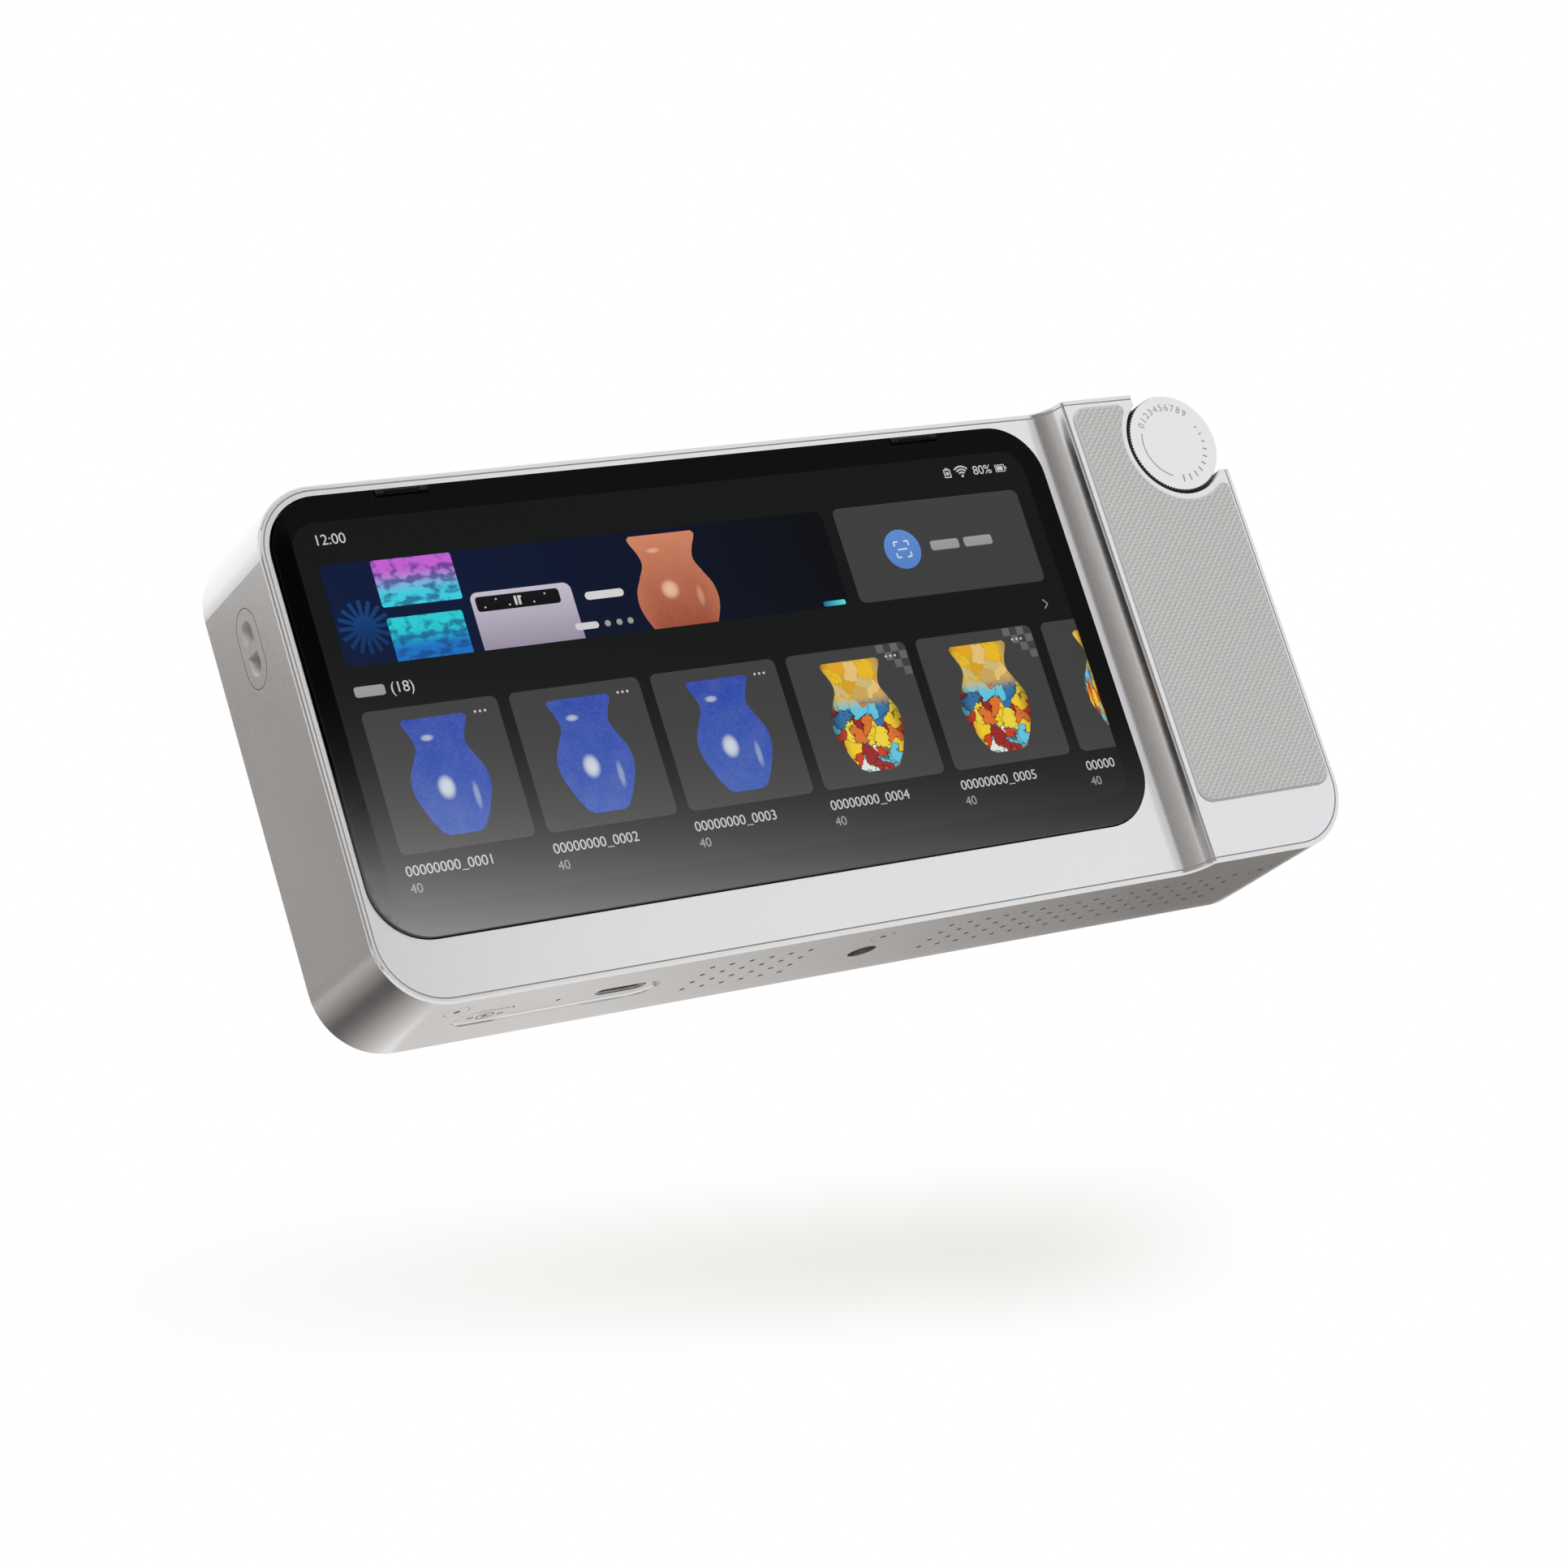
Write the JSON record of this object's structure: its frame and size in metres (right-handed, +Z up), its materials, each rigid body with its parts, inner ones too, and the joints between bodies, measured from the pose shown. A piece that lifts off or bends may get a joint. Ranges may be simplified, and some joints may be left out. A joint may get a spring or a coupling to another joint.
{
  "type": "handheld three-d scanner",
  "caption": "Flat handheld three-d scanner with a flip-up screen, a raised textured grip with a corner brightness knob, a start key, and cameras behind a rear window.",
  "frame": {"origin": "mouth of the tripod thread in the bottom face", "axes": "+X along the screen to the user's right, +Y from the screen towards the scanned subject, +Z up out of the bottom face"},
  "size_m": [0.189, 0.0318, 0.0879],
  "materials": {
    "housing_metal": "bead-blasted warm silver",
    "front_metal": "fine satin, light silver",
    "cover_metal": "bead-blasted warm silver",
    "knob_metal": "satin face, fine straight knurl",
    "inner_metal": "plain machined",
    "steel": "bright",
    "black_metal": "satin black",
    "screen_glass": "black polished cover glass",
    "window_glass": "dark polished glass",
    "lens_glass": "coated lens",
    "display": "display module",
    "grip_rubber": "warm grey, fine pyramid texture",
    "black_rubber": "matt",
    "black_plastic": "moulded",
    "white_plastic": "diffusing",
    "board": "circuit board",
    "battery_wrap": "wrapped cell pack",
    "mesh": "fine dark mesh"
  },
  "bodies": {
    "body": {"main_housing": "housing_metal", "front_plate": "front_metal", "back_cover": "cover_metal", "optics_window": "window_glass", "optics_seal": "black_rubber", "grip_pad": "grip_rubber", "strap_anchor": "housing_metal", "case_screws": "housing_metal", "vent_mesh": "mesh", "screen_well": "inner_metal", "well_magnets": "steel", "hinge_lugs": "black_metal", "start_switch": "black_plastic", "io_board": "board", "usb_socket": "steel", "microphone": "steel", "speaker": "black_plastic", "knob_encoder": "black_plastic", "chassis": "inner_metal", "main_board": "board", "board_screws": "steel", "processor": "black_plastic", "heat_sink": "inner_metal", "fan_frame": "black_plastic", "battery_pack": "battery_wrap", "optical_bench": "inner_metal", "bench_screws": "steel", "rgb_camera": "black_plastic", "camera_lenses": "lens_glass", "projector": "black_plastic", "projector_lens": "lens_glass", "led_board": "board", "flash_leds": "white_plastic", "depth_camera_1": "black_plastic", "depth_camera_2": "black_plastic", "depth_camera_3": "black_plastic", "depth_camera_4": "black_plastic"},
    "screen": {"screen_case": "black_metal", "display_panel": "display", "cover_glass": "screen_glass", "screen_magnets": "steel", "hinge_pins": "steel"},
    "start_key": {"start_button": "housing_metal", "start_plunger": "black_rubber"},
    "knob": {"brightness_knob": "knob_metal", "knob_shaft": "steel"},
    "fan": {"fan_rotor": "black_plastic"}
  },
  "joints": [
    {"name": "screen_flip", "type": "hinge", "parent": "body", "child": "screen", "pos_m": [-0.0174, -0.01402, 0.08515], "axis": [-1, 0, 0], "range_deg": [0, 180]},
    {"name": "start_press", "type": "slide", "parent": "body", "child": "start_key", "axis": [0, 0, 1], "range_m": [0, 0.0005], "stiffness_N_per_m": 3000},
    {"name": "knob_spin", "type": "hinge", "parent": "body", "child": "knob", "pos_m": [0.0844, -0.0183, 0.0778], "axis": [0, -1, 0], "continuous": true},
    {"name": "fan_spin", "type": "hinge", "parent": "body", "child": "fan", "pos_m": [0.04, -0.0076, 0.0361], "axis": [0, 1, 0], "continuous": true}
  ]
}
